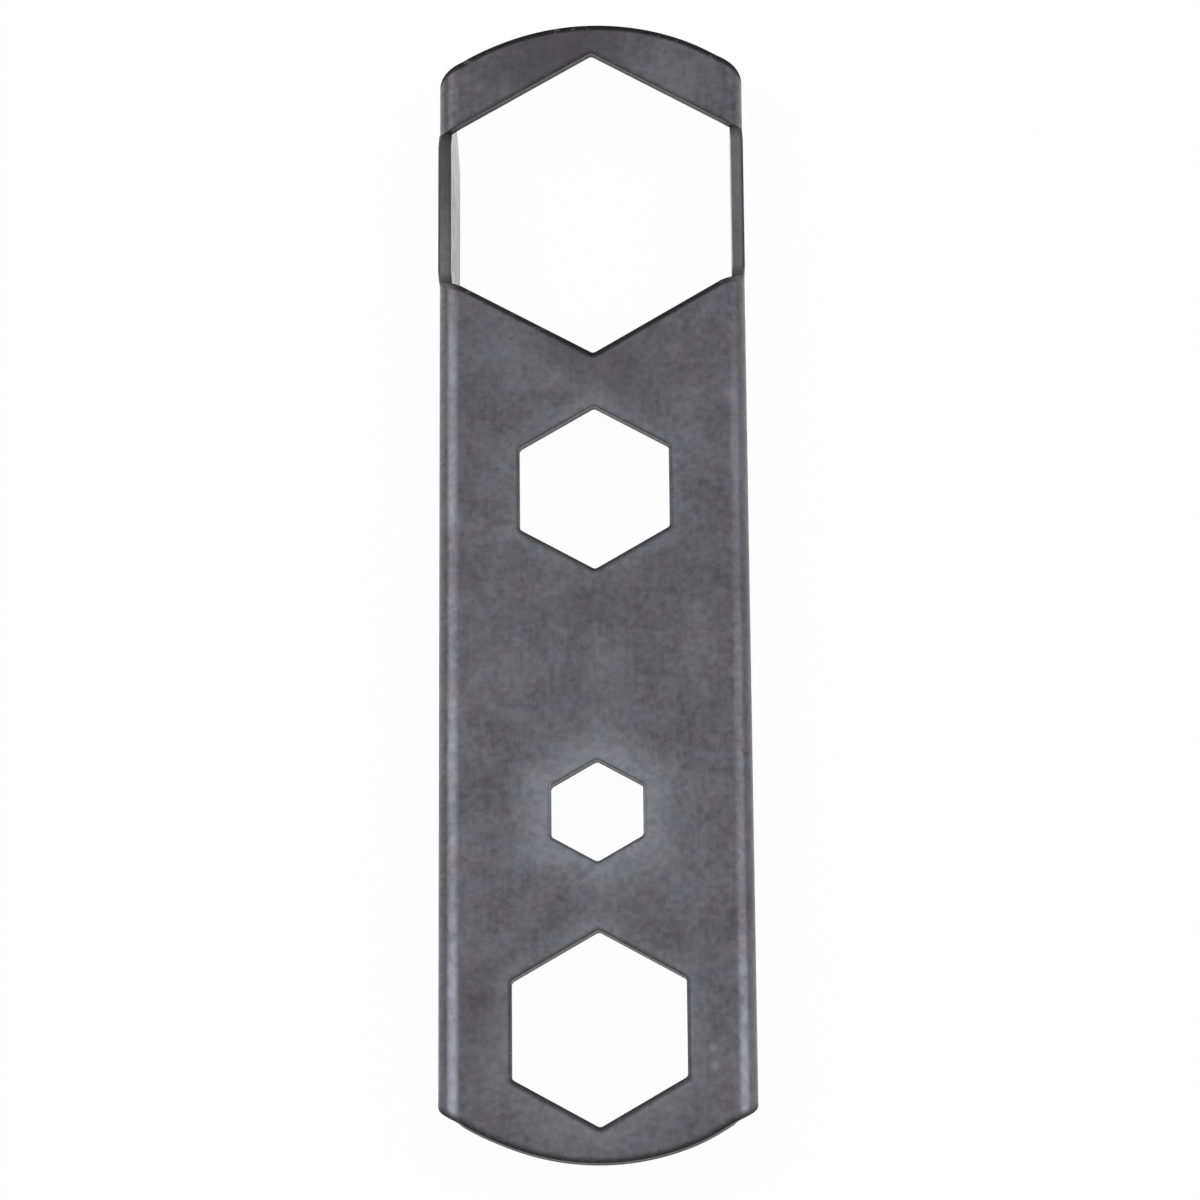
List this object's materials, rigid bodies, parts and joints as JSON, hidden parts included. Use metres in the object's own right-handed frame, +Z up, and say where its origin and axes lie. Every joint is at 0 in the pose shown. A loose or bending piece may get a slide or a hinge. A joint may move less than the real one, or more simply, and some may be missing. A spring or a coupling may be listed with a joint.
{
  "type": "multi-purpose wrench",
  "caption": "Pressed sheet-steel channel wrench with in-line hexagonal sockets of graded sizes through its flat web and rounded ends, for turning large nuts and plugs.",
  "frame": {"origin": "middle of the footprint of the two flange edges that the part lies on", "axes": "+X across the channel, +Y along it towards the largest socket, +Z up out of the web's outer face"},
  "size_m": [0.0492, 0.189, 0.0135],
  "materials": {
    "steel": "satin"
  },
  "bodies": {
    "root": {"wrench_body": "steel"}
  },
  "joints": []
}
